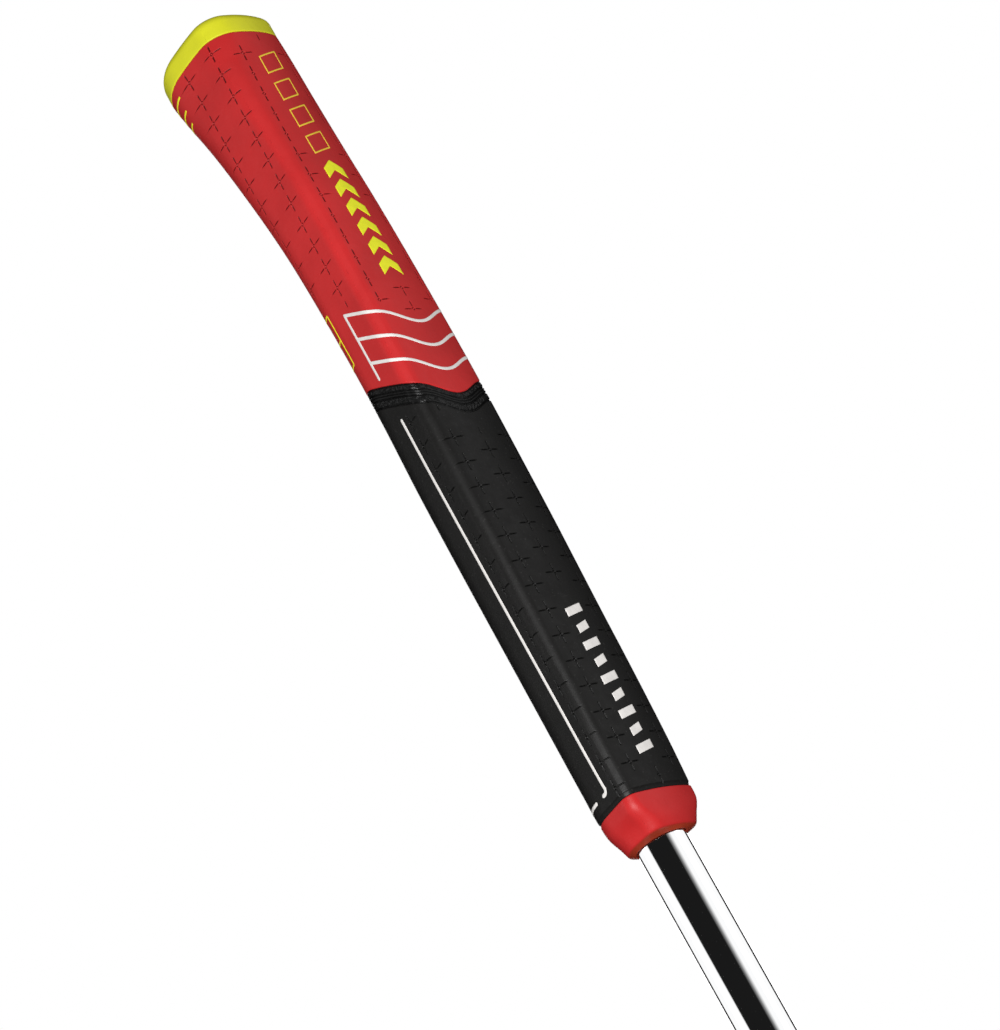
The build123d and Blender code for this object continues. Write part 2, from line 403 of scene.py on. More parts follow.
def lattice_noise(rows, columns, cell_rows, cell_columns, seed):
    """Smooth seeded noise from -1 to 1 that closes round its columns."""
    random = np.random.default_rng(seed)
    coarse = random.uniform(-1, 1, (cell_rows + 2, cell_columns))
    u = np.linspace(0, cell_rows, rows)
    v = np.linspace(0, cell_columns, columns, endpoint=False)
    row, column = u.astype(int), v.astype(int)
    fu = (u - row)[:, None]
    fv = (v - column)[None, :]
    fu, fv = fu * fu * (3 - 2 * fu), fv * fv * (3 - 2 * fv)
    right = (column + 1) % cell_columns
    top = coarse[row][:, column] * (1 - fv) + coarse[row][:, right] * fv
    bottom = coarse[row + 1][:, column] * (1 - fv) + coarse[row + 1][:, right] * fv
    return top * (1 - fu) + bottom * fu


# ------------------------------------------------------------------- grooves
def row_of_crosses(guide, start, pitch, count, **style):
    """Description of one row. Flags name the crosses, counted from the butt, that have each part."""
    every = set(range(count))
    row = {"guide": guide, "start": start, "pitch": pitch, "count": count}
    for part in ("inner_arm", "outer_arm", "butt_dash", "mouth_dash", "ring"):
        row[part] = style.get(part, every)
    return row


def bar_distance(across, along, span):
    """Distance to a short groove that runs from span[0] to span[1] along."""
    middle, half = (span[0] + span[1]) / 2, (span[1] - span[0]) / 2
    return np.hypot(across, np.maximum(np.abs(along - middle) - half, 0))


def groove(distance, half_width, present):
    return np.where(present, np.clip(1 - (distance / half_width) ** 2, 0, 1), 0)


def cross_depth(row, arc, height):
    """Groove depth, from 0 to 1, of one row at each skin point."""
    reach = np.abs(arc)
    centre = half_girth(height) if row["guide"] == "back" else 0.0
    if row["guide"] not in ("back", "front"):
        centre = guide_arc(row["guide"], height)
    across = reach - centre
    number = np.clip(np.rint((row["start"] - height) / row["pitch"]), 0, row["count"] - 1).astype(int)
    along = height - (row["start"] - number * row["pitch"])

    def present(part):
        flags = np.array([index in row[part] for index in range(row["count"])])
        return flags[number]

    parts = [
        groove(bar_distance(across, along, DASH), DASH_HALF, present("butt_dash")),
        groove(bar_distance(across, -along, DASH), DASH_HALF, present("mouth_dash")),
        groove(bar_distance(along, across, ARM), ARM_HALF, present("outer_arm")),
        groove(bar_distance(along, -across, ARM), ARM_HALF, present("inner_arm")),
        groove(np.abs(np.hypot(across, along) - RING_R), RING_HALF, present("ring")),
    ]
    return np.maximum.reduce(parts)


def cluster(centre, ends):
    """Grid lines packed round a groove's centre and its ends, on both sides."""
    offsets = [0.0, 0.08, 0.16, 0.24, 0.33, 0.42, 0.51, 0.62]
    offsets += [end + step for end in ends for step in (-0.12, 0.0, 0.12)]
    offsets = sorted(set(offsets))
    return [centre - step for step in offsets[:0:-1]] + [centre + step for step in offsets]


def fill(lines, low, high, gap):
    """The sorted lines between low and high, with more added where they lie further apart than gap."""
    kept = [low] + [line for line in sorted(lines) if low + 0.03 < line < high - 0.03] + [high]
    filled = [kept[0]]
    for line in kept[1:]:
        if line - filled[-1] < 0.03:
            continue
        steps = max(1, math.ceil((line - filled[-1]) / gap))
        start = filled[-1]
        filled.extend(start + (line - start) * step / steps for step in range(1, steps + 1))
    return np.array(filled)


def column_arcs(height):
    """Signed distance round the section of every grid column, at each height."""
    girth = half_girth(height)
    guides = [guide_arc(guide, height) for guide in (EDGE_GUIDE, SIDE_GUIDE, REAR_GUIDE)]
    anchors = [0 * height] + guides + [girth]
    near = [step for step in cluster(0.0, ARM) if step > 0]
    margin = near[-1]
    half = [anchors[0]]
    for low, high in zip(anchors[:-1], anchors[1:]):
        half.extend(low + step for step in near)
        half.extend(low + margin + (high - low - 2 * margin) * step / 7 for step in range(1, 7))
        half.extend(high - step for step in near[::-1])
        half.append(high)
    right = np.stack(half, axis=-1)
    return np.concatenate([right, -right[..., -2:0:-1]], axis=-1)


def edge_rounding(distance, radius):
    """How far the skin falls back at a distance from a moulded edge."""
    short = np.clip(1 - distance / radius, 0, 1)
    return radius * (1 - np.sqrt(1 - short**2))


def own_arcs(height):
    """Distance round the section of each grid column, whose heights these are."""
    columns = np.arange(len(height))
    return column_arcs(height)[columns, columns]


def settled_edge(edge, start):
    """Height of each grid column where it meets the edge, given as a function of the arc."""
    height = edge(column_arcs(np.array([start]))[0])
    for _ in range(8):
        height = edge(own_arcs(height))
    return height


def sleeve(low_edge, high_edge, level_lines, crosses, low_lines, high_lines, low_step=0.0):
    """Closed grid of a sleeve between two edges given as functions of the arc.

    Rows lie at the level lines where both edges allow it, and spread out evenly
    between the outermost level line and each edge.
    """
    low_level, high_level = level_lines[0], level_lines[-1]
    low = settled_edge(low_edge, low_level)
    high = settled_edge(high_edge, high_level)
    rows = [low + step for step in EDGE_STEPS]
    first = rows[-1]
    rows += [first + (low_level - first) * step / low_lines for step in range(1, low_lines)]
    rows += [np.full_like(low, level) for level in level_lines]
    last = high - EDGE_STEPS[-1]
    rows += [high_level + (last - high_level) * step / high_lines for step in range(1, high_lines)]
    rows += [high - step for step in EDGE_STEPS[::-1]]
    height = np.stack(rows)
    arcs = np.stack([own_arcs(row) for row in height])
    depth = np.zeros_like(height)
    for row in crosses:
        depth = np.maximum(depth, cross_depth(row, arcs, height))
    rounding = edge_rounding(height - low, EDGE_R) + edge_rounding(high - height, EDGE_R)
    step_back = low_step * np.clip(1.4 - (height - low), 0, 1) ** 0.5
    outer = skin_points(arcs, height, -GROOVE_DEPTH * depth - rounding - step_back)
    inner_height = np.stack([high, (low + high) / 2, low])
    x, y = skin(arcs[:1], np.full_like(high, (low_level + high_level) / 2)[None])
    angles = np.arctan2(y, x)
    inner = circle_points(LINER_R, np.broadcast_to(angles, inner_height.shape), inner_height)
    points = np.concatenate([outer, inner])
    # Painted shade, stronger where the cross grooves are deeper; the bore gets none.
    cavity = np.concatenate([np.minimum(1.6 * depth, 1), np.zeros_like(inner_height)])
    return loop_grid(points), cavity


def level_lines(starts, pitch, low, high):
    """Grid heights packed round every cross between low and high."""
    lines = []
    for start in starts:
        for number in range(40):
            lines += cluster(start - number * pitch, DASH)
    return fill(lines, low, high, 0.5)


# --------------------------------------------------------------------- paint
def ribbon(arc, height, width):
    """Paint line of the given width along a path on the skin."""
    along = np.gradient(arc), np.gradient(height)
    size = np.hypot(*along)
    across = -along[1] / size, along[0] / size
    travelled = np.concatenate([[0], np.cumsum(np.hypot(np.diff(arc), np.diff(height)))])
    nearest = np.minimum(travelled, travelled[-1] - travelled)
    short = np.clip(1 - nearest / (width / 2), 0, 1)
    narrow = np.maximum(np.sqrt(1 - short**2), 0.05)[:, None]
    profile = RIBBON_ACROSS * width
    arcs = arc[:, None] + across[0][:, None] * profile * narrow
    heights = height[:, None] + across[1][:, None] * profile * narrow
    return loop_grid(skin_points(arcs, heights, np.broadcast_to(RIBBON_LIFT, arcs.shape)), wrap_rows=False)


def path_steps(length, width, gap=0.5):
    """Places along a path, closer together near its rounded ends."""
    lines = [step * width for step in LINE_END_STEPS]
    lines += [length - step * width for step in LINE_END_STEPS]
    return fill(lines, 0.0, length, gap)


def level_line(height, start_y, width):
    """Ribbon across the back at one height, from start_y on one side to start_y on the other."""
    start = float(arc_at_y(start_y, np.array(height)))
    girth = float(half_girth(np.array(height)))
    half = path_steps(2 * (girth - start), width)
    reach = start + half
    arc = np.where(reach > girth, -(2 * girth - reach), reach)
    return back_ribbon(arc, np.full_like(arc, height), width)


def back_ribbon(arc, height, width):
    """Ribbon whose path passes the centre of the back, where the signed arc jumps."""
    profile = RIBBON_ACROSS * width
    girth = half_girth(height)
    travelled = np.where(arc > 0, arc, 2 * girth + arc)
    nearest = np.minimum(travelled - travelled[0], travelled[-1] - travelled)
    short = np.clip(1 - nearest / (width / 2), 0, 1)
    narrow = np.maximum(np.sqrt(1 - short**2), 0.05)[:, None]
    heights = height[:, None] + profile * narrow
    arcs = np.broadcast_to(arc[:, None], heights.shape)
    return loop_grid(skin_points(arcs, heights, np.broadcast_to(RIBBON_LIFT, arcs.shape)), wrap_rows=False)


def side_line(span, y, width, sign):
    """Ribbon along the side at constant y."""
    height = span[0] + path_steps(span[1] - span[0], width)
    return ribbon(sign * arc_at_y(y, height), height, width)


def face_arc(x, height):
    """Distance round the section of a point x on the thumb face."""
    crown = smooth_table(STATIONS[:, 0], STATIONS[:, 2], height)
    return crown * np.arcsin(x / crown)


def face_points(x, height, lift):
    return skin_points(face_arc(x, height), height, lift)


def filled_mark(low, high, half_width):
    """Paint patch on the thumb face between two height functions of x."""
    rim = 0.1
    spread = np.linspace(-half_width + rim, half_width - rim, 17)
    x = np.concatenate([[-half_width] * 2, spread, [half_width] * 2])
    share = np.concatenate([[0, 0, 0.04], np.linspace(0.16, 0.84, 5), [0.96, 1, 1]])
    x_lift = np.full(len(x), PAINT_LIFT)
    share_lift = np.full(len(share), PAINT_LIFT)
    for lifts in (x_lift, share_lift):
        lifts[[0, -1]] = PAINT_ROOT
        lifts[[1, -2]] = 0.0
    height = low(x)[None, :] + (high(x) - low(x))[None, :] * share[:, None]
    lift = np.minimum(x_lift[None, :], share_lift[:, None])
    points = face_points(np.broadcast_to(x, height.shape), height, lift)
    rows, columns = points.shape[:2]
    faces = grid_faces(rows, columns, False, False)
    index = np.arange(rows * columns).reshape(rows, columns)
    rim_loop = list(index[0]) + list(index[1:, -1]) + list(index[-1, -2::-1]) + list(index[-2:0:-1, 0])
    faces.append([int(corner) for corner in rim_loop[::-1]])
    return points.reshape(-1, 3), faces


def slanted_bar(half_width, length, slant, height):
    def edge(side):
        return lambda x: height + side * length / 2 + slant / 2 * x / half_width
    return filled_mark(edge(-1), edge(1), half_width)


def chevron(half_width, length, rise, height):
    def edge(side):
        return lambda x: height + side * length / 2 + rise * (0.5 - np.abs(x) / half_width)
    return filled_mark(edge(-1), edge(1), half_width)


def outlined_bar(half_width, length, slant, height, width):
    """Slanted frame of paint with mitred corners."""
    slope = slant / (2 * half_width)
    drop = width * math.hypot(1, slope)

    def corners(inset_x, inset_z):
        w = half_width - inset_x
        return np.array([
            (-w, height - length / 2 + inset_z - slope * w),
            (w, height - length / 2 + inset_z + slope * w),
            (w, height + length / 2 - inset_z + slope * w),
            (-w, height + length / 2 - inset_z - slope * w),
        ])

    lifts = [PAINT_ROOT, 0.0, PAINT_LIFT, PAINT_LIFT, 0.0, PAINT_ROOT]
    shares = [0.0, 0.0, 0.15, 0.85, 1.0, 1.0]
    rings = []
    for share, lift in zip(shares, lifts):
        frame_corners = corners(width * share, drop * share)
        ring = []
        for start, end in zip(frame_corners, np.roll(frame_corners, -1, axis=0)):
            ring.append(start + (end - start) * np.linspace(0, 1, 14, endpoint=False)[:, None])
        ring = np.concatenate(ring)
        rings.append(face_points(ring[:, 0], ring[:, 1], lift))
    return loop_grid(np.stack(rings))


# ----------------------------------------------------------------- materials
class Shader:
    """A Principled material with short calls for adding nodes."""

    def __init__(self, name, colour, roughness, metallic=0.0, specular=0.5):
        self.material = bpy.data.materials.new(name)
        self.material.use_nodes = True
        self.tree = self.material.node_tree
        self.principled = self.tree.nodes["Principled BSDF"]
        self.principled.inputs["Base Color"].default_value = (*colour, 1)
        self.principled.inputs["Roughness"].default_value = roughness
        self.principled.inputs["Metallic"].default_value = metallic
        self.principled.inputs["Specular IOR Level"].default_value = specular
        self.coordinates = self.tree.nodes.new("ShaderNodeTexCoord").outputs["Object"]

    def link(self, source, target):
        self.tree.links.new(source, target)

    def stretched(self, scale):
        """Object coordinates multiplied by scale along each axis."""
        mapping = self.tree.nodes.new("ShaderNodeMapping")
        mapping.inputs["Scale"].default_value = scale
        self.link(self.coordinates, mapping.inputs["Vector"])
        return mapping.outputs["Vector"]

    def noise(self, scale, detail=3.0, roughness=0.55, vector=None):
        node = self.tree.nodes.new("ShaderNodeTexNoise")
        node.inputs["Scale"].default_value = scale
        node.inputs["Detail"].default_value = detail
        node.inputs["Roughness"].default_value = roughness
        self.link(vector or self.coordinates, node.inputs["Vector"])
        return node.outputs["Fac"]

    def ramp(self, factor, low, high, low_colour=(0, 0, 0), high_colour=(1, 1, 1)):
        """Colour that goes from low_colour to high_colour as factor goes from low to high."""
        node = self.tree.nodes.new("ShaderNodeValToRGB")
        node.color_ramp.elements[0].position = low
        node.color_ramp.elements[1].position = high
        node.color_ramp.elements[0].color = (*low_colour, 1)
        node.color_ramp.elements[1].color = (*high_colour, 1)
        self.link(factor, node.inputs["Fac"])
        return node.outputs["Color"]

    def mix(self, factor, first, second):
        """first blended into second; either may be a colour or a socket."""
        node = self.tree.nodes.new("ShaderNodeMix")
        node.data_type = "RGBA"
        self.link(factor, node.inputs["Factor"])
        for socket, value in (("A", first), ("B", second)):
            target = [entry for entry in node.inputs if entry.name == socket and entry.type == "RGBA"][0]
            if isinstance(value, tuple):
                target.default_value = (*value, 1)
            else:
                self.link(value, target)
        return [entry for entry in node.outputs if entry.type == "RGBA"][0]

    def attribute(self, name):
        node = self.tree.nodes.new("ShaderNodeAttribute")
        node.attribute_name = name
        return node.outputs["Fac"]

    def bump(self, *layers):
        """Bump from (height socket, depth in millimetres) layers, one on another."""
        normal = None
        for height, depth in layers:
            node = self.tree.nodes.new("ShaderNodeBump")
            node.inputs["Distance"].default_value = depth * MM
            self.link(height, node.inputs["Height"])
            if normal is not None:
                self.link(normal, node.inputs["Normal"])
            normal = node.outputs["Normal"]
        self.link(normal, self.principled.inputs["Normal"])


def shade(colour, factor):
    return tuple(min(1.0, channel * factor) for channel in colour)


def rubber(name, colour, painted_shade_colour, roughness, dust=0.0, grain=0.035, specular=0.3):
    """Soft moulded rubber: mottled colour, fine grain, worn-in roughness, and painted shade that darkens
    grooves and hollows.
    """
    shader = Shader(name, colour, roughness, specular=specular)
    cloud = shader.noise(55, 4)
    base = shader.ramp(cloud, 0.3, 0.7, shade(colour, 0.9), shade(colour, 1.08))
    if dust:
        specks = shader.ramp(shader.noise(1500, 2, 0.4), 0.66, 0.76, (0, 0, 0), (dust, dust, dust))
        base = shader.mix(specks, base, (0.35, 0.34, 0.33))
    # Painted shade: where the mesh marks grooves and hollows, the colour is darkened towards the given shade
    # colour.
    base = shader.mix(shader.attribute("cavity"), base, painted_shade_colour)
    shader.link(base, shader.principled.inputs["Base Color"])
    gloss = shader.ramp(
        shader.noise(260, 5, 0.6), 0.3, 0.7, (roughness - 0.07,) * 3, (roughness + 0.07,) * 3
    )
    shader.link(gloss, shader.principled.inputs["Roughness"])
    shader.bump((shader.noise(420, 3), 0.05), (shader.noise(2600, 2, 0.6), grain))
    return shader.material


def paint(name, colour, roughness=0.5):
    """Thick paint: slightly uneven surface, faint soiling."""
    shader = Shader(name, colour, roughness, specular=0.3)
    soil = shader.ramp(shader.noise(380, 4), 0.35, 0.75, shade(colour, 1.04), shade(colour, 0.9))
    shader.link(soil, shader.principled.inputs["Base Color"])
    gloss = shader.ramp(
        shader.noise(900, 3), 0.3, 0.7, (roughness - 0.08,) * 3, (roughness + 0.08,) * 3
    )
    shader.link(gloss, shader.principled.inputs["Roughness"])
    shader.bump((shader.noise(1300, 3), 0.03))
    return shader.material


def chrome(name):
    """Bright plated steel with faint polishing lines round the tube."""
    shader = Shader(name, (0.97, 0.975, 0.98), 0.05, metallic=1.0)
    lines = shader.noise(1.0, 4, 0.6, shader.stretched((60, 60, 5200)))
    gloss = shader.ramp(lines, 0.3, 0.75, (0.035,) * 3, (0.085,) * 3)
    shader.link(gloss, shader.principled.inputs["Roughness"])
    shader.bump((lines, 0.0006))
    return shader.material


def creped_paper(name):
    """Masking-tape paper with fine cross-wise creping, and painted shade that darkens the crepe's low parts.
    """
    shader = Shader(name, (0.78, 0.74, 0.62), 0.7, specular=0.3)
    crepe = shader.noise(1.0, 4, 0.6, shader.stretched((500, 500, 2600)))
    # Painted shade: the colour follows the crepe relief of the bump and is darker where the paper lies low.
    base = shader.ramp(crepe, 0.3, 0.7, (0.66, 0.61, 0.48), (0.82, 0.78, 0.67))
    shader.link(base, shader.principled.inputs["Base Color"])
    shader.bump((crepe, 0.06))
    return shader.material


RED = (0.57, 0.021, 0.022)
# Each rubber's second colour is the painted shade of its grooves and hollows.
MATERIALS = {
    "rubber_red": rubber("rubber_red", RED, (0.10, 0.003, 0.004), 0.52),
    # The collar uses the sleeve red made darker, as painted shade.
    "rubber_collar": rubber("rubber_collar", shade(RED, 0.9), (0.36, 0.035, 0.012), 0.44),
    "rubber_black": rubber(
        "rubber_black", (0.0098, 0.0094, 0.009), (0.0006, 0.0006, 0.0006), 0.52, dust=0.05,
    ),
    "rubber_band": rubber("rubber_band", (0.012, 0.012, 0.012), (0.002, 0.002, 0.002), 0.36, grain=0.06),
    "rubber_yellow": rubber("rubber_yellow", (0.74, 0.74, 0.02), (0.4, 0.4, 0.01), 0.50),
    "rubber_liner": rubber("rubber_liner", (0.02, 0.02, 0.02), (0.01, 0.01, 0.01), 0.6),
    "paint_white": paint("paint_white", (0.86, 0.83, 0.80)),
    "paint_yellow": paint("paint_yellow", (0.93, 0.93, 0.02)),
    "paint_gold": paint("paint_gold", (0.93, 0.66, 0.05)),
    "steel": chrome("steel"),
    "tape": creped_paper("tape"),
}


# -------------------------------------------------------------------- pieces
def grip_piece(name, parts, slot, material=None, cavity=None):
    write_object(name, parts, MATERIALS[material or slot], "grip", name, cavity)


def add_upper_sleeve():
    count = 13
    all_but_last = set(range(count - 1))
    edge_row = row_of_crosses(
        EDGE_GUIDE, UPPER_EDGE_START, UPPER_PITCH, count,
        inner_arm={0, 5, 6, 7, 12}, outer_arm={0}, mouth_dash=all_but_last,
    )
    side_row = row_of_crosses(
        SIDE_GUIDE, UPPER_SIDE_START, UPPER_PITCH, count,
        inner_arm=all_but_last, outer_arm=all_but_last, mouth_dash=all_but_last, ring=all_but_last,
    )
    rear_row = row_of_crosses(REAR_GUIDE, UPPER_SIDE_START, UPPER_PITCH, 11)
    back_row = row_of_crosses("back", UPPER_SIDE_START - 2 * UPPER_PITCH, UPPER_PITCH, 9)
    front_row = row_of_crosses(
        "front", UPPER_SIDE_START, UPPER_PITCH, 14,
        inner_arm={12, 13}, outer_arm={12, 13}, butt_dash={0, 13}, mouth_dash={12}, ring={12, 13},
    )
    starts = (UPPER_EDGE_START, UPPER_SIDE_START)
    lines = level_lines(starts, UPPER_PITCH, UPPER_ROWS_LOW, UPPER_ROWS_HIGH)
    part, cavity = sleeve(
        lambda arc: wave_height(arc, 0.0), lambda arc: np.full_like(arc, CAP_SEAT),
        lines, (edge_row, side_row, rear_row, back_row, front_row), 44, 6,
    )
    grip_piece("upper_sleeve", [part], "rubber_red", cavity=cavity)


def add_lower_sleeve():
    count = 15
    all_but_first = set(range(1, count))
    edge_row = row_of_crosses(
        EDGE_GUIDE, LOWER_EDGE_START, LOWER_PITCH, count,
        inner_arm=all_but_first, outer_arm=all_but_first, ring=all_but_first, mouth_dash=all_but_first,
    )
    side_row = row_of_crosses(SIDE_GUIDE, LOWER_SIDE_START, LOWER_PITCH, 16, outer_arm=set())
    back_row = row_of_crosses("back", LOWER_SIDE_START - 2 * LOWER_PITCH, LOWER_PITCH, 13)
    open_face = set(range(2, 8))
    front_row = row_of_crosses(
        "front", LOWER_SIDE_START, LOWER_PITCH, 16,
        inner_arm=open_face, outer_arm=open_face, ring=open_face | {15},
        butt_dash=open_face | {15}, mouth_dash=open_face | {1, 15},
    )
    starts = (LOWER_EDGE_START, LOWER_SIDE_START)
    lines = level_lines(starts, LOWER_PITCH, LOWER_ROWS_LOW, LOWER_ROWS_HIGH)
    part, cavity = sleeve(
        lambda arc: np.full_like(arc, COLLAR_TOP), lambda arc: wave_height(arc, -BAND_WIDTH),
        lines, (edge_row, side_row, back_row, front_row), 8, 70, low_step=0.4,
    )
    grip_piece("lower_sleeve", [part], "rubber_black", cavity=cavity)


def band_relief(across):
    """Ridges of the band as (height off the skin, share of rough texture), across from 0 to its width."""
    ridges = 0 * across
    for centre, half in BAND_RIDGES:
        ridges = np.maximum(ridges, np.clip(1 - ((across - centre) / half) ** 2, 0, 1) ** 0.5)
    rough = 0 * across
    for start, end in BAND_ROUGH_SPANS:
        inside = np.minimum(across - start, end - across)
        rough = np.maximum(rough, np.clip(inside / 0.25, 0, 1))
    return BAND_SINK * (ridges - 1) + BAND_ROUGH_LIFT * rough, rough


def add_band():
    columns, rows = 420, 69
    girth = float(half_girth(np.array(WAVE_MEAN)))
    arc = np.linspace(-girth, girth, columns, endpoint=False)
    across = np.linspace(0, BAND_WIDTH, rows)
    relief, rough = band_relief(across)
    noise = lattice_noise(rows, columns, 15, 210, seed=4)
    lift = relief[:, None] + BAND_ROUGH_DEPTH * rough[:, None] * noise
    height = np.stack([wave_height(arc, step - BAND_WIDTH) for step in across])
    outer = skin_points(np.broadcast_to(arc, height.shape), height, lift)
    angles = np.arctan2(outer[rows // 2, :, 1], outer[rows // 2, :, 0])
    inner = circle_points(LINER_R, angles[None], np.stack([height[-1], height[0]]))
    # Painted shade on the band's sunk parts, darkest where the surface lies lowest.
    sunk_shade = np.clip(-relief / BAND_SINK, 0, 1)[:, None]
    cavity = np.concatenate([np.repeat(sunk_shade, columns, 1), np.zeros((2, columns))])
    part = loop_grid(np.concatenate([outer, inner]))
    grip_piece("transition_band", [part], "rubber_band", cavity=cavity)


def add_collar():
    columns = 240
    bevel_height = 0.85
    share = np.linspace(-1, 1, columns, endpoint=False)
    bevel_edge_r = 0.6
    side_top = COLLAR_TOP - 0.8
    edge = MOUTH + bevel_height
    top = COLLAR_TOP - np.array(EDGE_STEPS)
    side = np.linspace(side_top, edge + 0.75, 34)
    low = edge + np.array([0.5, 0.3, 0.15, 0.05])
    heights = np.concatenate([top, side, low])
    rounding = edge_rounding(COLLAR_TOP - heights, EDGE_R) + edge_rounding(heights - edge, bevel_edge_r)
    girth = half_girth(heights)
    outer = skin_points(girth[:, None] * share, heights[:, None], -rounding[:, None])
    rim = outer[-1]
    angles = np.arctan2(rim[:, 1], rim[:, 0])
    lip = circle_points(GRIP_BORE_R + 0.3, angles, MOUTH)
    bevel = [rim + (lip - rim) * part for part in np.linspace(0, 1, 12)[1:]]
    bore = [(GRIP_BORE_R + 0.08, MOUTH + 0.08), (GRIP_BORE_R, MOUTH + 0.3), (GRIP_BORE_R, LINER_LOW - 0.02)]
    bore += [(LINER_R, LINER_LOW), (LINER_R, COLLAR_TOP)]
    inner = [circle_points(radius, angles, height) for radius, height in bore]
    points = np.concatenate([outer, np.stack(bevel + inner)])
    # Painted shade: the chamfer, lip and bore are darkened to a brownish shade colour, and the last two rows
    # of the outer skin half as much.
    cavity = np.zeros(points.shape[:2])
    cavity[len(heights):] = 1.0
    cavity[len(heights) - 2:len(heights)] = 0.5
    grip_piece("mouth_collar", [loop_grid(points)], "rubber_red", material="rubber_collar", cavity=cavity)


def add_cap():
    columns = 300
    share = np.linspace(-1, 1, columns, endpoint=False)
    edge_height, edge_inset = 3.2, 3.3
    ring_groove, ring_place, ring_width = 0.35, 0.25, 0.06
    vent_rim = 0.35
    low = CAP_SEAT + np.array(EDGE_STEPS)
    straight = np.linspace(CAP_SEAT + 0.7, GRIP_TOP - edge_height, 8)
    turn = np.linspace(0, math.pi / 2, 22)[1:]
    heights = np.concatenate([low, straight, GRIP_TOP - edge_height * (1 - np.sin(turn))])
    rounding = edge_rounding(heights - CAP_SEAT, EDGE_R)
    rounding[-len(turn):] = edge_inset * (1 - np.cos(turn))
    girth = half_girth(heights)
    outer = skin_points(girth[:, None] * share, heights[:, None], -rounding[:, None])
    edge = outer[-1]
    angles = np.arctan2(edge[:, 1], edge[:, 0])
    rings = []
    for part in np.linspace(0, 1, 20)[1:]:
        vent = circle_points(VENT_R + vent_rim, angles, edge[:, 2].mean() + vent_rim)
        ring = edge + (vent - edge) * part
        ring[:, 2] -= ring_groove * np.exp(-((part - ring_place) / ring_width) ** 2)
        rings.append(ring)
    top = rings[-1][:, 2].mean()
    for radius, drop in ((VENT_R + 0.15, 0.05), (VENT_R, 0.25), (VENT_R, 1.5)):
        rings.append(circle_points(radius, angles, top - drop))
    rings.append(circle_points(VENT_R, angles, CAP_SEAT))
    rings.append(circle_points(LINER_R, angles, CAP_SEAT))
    points = np.concatenate([outer, np.stack(rings)])
    # Painted shade inside the vent hole.
    cavity = np.zeros(points.shape[:2])
    cavity[-4:] = 1.0
    grip_piece("butt_cap", [loop_grid(points)], "rubber_yellow", cavity=cavity)


def add_line_paint():
    comb = []
    for offset in WAVE_LINE_OFFSETS:
        height = float(wave_height(np.array([20.0]), offset)[0])
        reach = float(arc_at_y(SIDE_LINE_Y, np.array(height)))
        arc = -reach + path_steps(2 * reach, LINE_WIDTH)
        comb.append(ribbon(arc, wave_height(arc, offset), LINE_WIDTH))
    comb += [side_line(UPPER_LINE_SPAN, SIDE_LINE_Y, LINE_WIDTH, sign) for sign in (-1, 1)]
    grip_piece("wave_lines", comb, "paint_white")

    low, high = LOWER_LINE_SPAN
    for name, sign in (("side_line_left", -1), ("side_line_right", 1)):
        grip_piece(name, [hooked_line(low, high, sign)], "paint_white")
    grip_piece("back_arc", [level_line(low, BACK_ARC_START_Y, LINE_WIDTH)], "paint_white")

    parts = [level_line(height, FRAME_EDGE_Y, FRAME_LINE_WIDTH) for height in FRAME_HEIGHTS]
    span = (FRAME_HEIGHTS[0], FRAME_HEIGHTS[-1])
    parts += [side_line(span, FRAME_EDGE_Y, FRAME_LINE_WIDTH, sign) for sign in (-1, 1)]
    grip_piece("back_frame", parts, "paint_yellow")
    for number, (height, start) in enumerate(STROKES, 1):
        grip_piece(f"back_stroke_{number}", [level_line(height, start, STROKE_WIDTH)], "paint_yellow")


def hooked_line(low, high, sign):
    """Long side line that turns round the back at its lower end."""
    side_start = float(arc_at_y(SIDE_LINE_Y, np.array(low)))
    hook_end = float(arc_at_y(HOOK_END_Y, np.array(low)))
    run = path_steps(high - low - HOOK_BEND, LONG_LINE_WIDTH)
    down = high - run[:1 - len(LINE_END_STEPS)]
    arcs = list(arc_at_y(SIDE_LINE_Y, down))
    heights = list(down)
    for turn in np.linspace(0, math.pi / 2, 12):
        arcs.append(side_start + HOOK_BEND * (1 - math.cos(turn)))
        heights.append(low + HOOK_BEND * (1 - math.sin(turn)))
    shortest_tail = 0.8
    tail = path_steps(max(hook_end - arcs[-1], shortest_tail), LONG_LINE_WIDTH)[len(LINE_END_STEPS):]
    arcs += [side_start + HOOK_BEND + step for step in tail]
    heights += [low] * len(tail)
    return ribbon(sign * np.array(arcs), np.array(heights), LONG_LINE_WIDTH)


def add_face_paint():
    for index in range(OUTLINE_COUNT):
        height = OUTLINE_START + index * OUTLINE_PITCH
        part = outlined_bar(MARK_HALF_WIDTH, OUTLINE_LENGTH, OUTLINE_SLANT, height, OUTLINE_WIDTH)
        grip_piece(f"outline_mark_{index + 1}", [part], "paint_gold")
    for index in range(CHEVRON_COUNT):
        height = CHEVRON_START + index * CHEVRON_PITCH
        part = chevron(MARK_HALF_WIDTH, CHEVRON_LENGTH, CHEVRON_RISE, height)
        grip_piece(f"chevron_mark_{index + 1}", [part], "paint_yellow")
    for index in range(BAR_COUNT):
        height = BAR_START + index * BAR_PITCH
        half_width = BAR_HALF_WIDTHS[index % len(BAR_HALF_WIDTHS)]
        part = slanted_bar(half_width, BAR_LENGTH, BAR_SLANT, height)
        grip_piece(f"bar_mark_{index + 1}", [part], "paint_white")


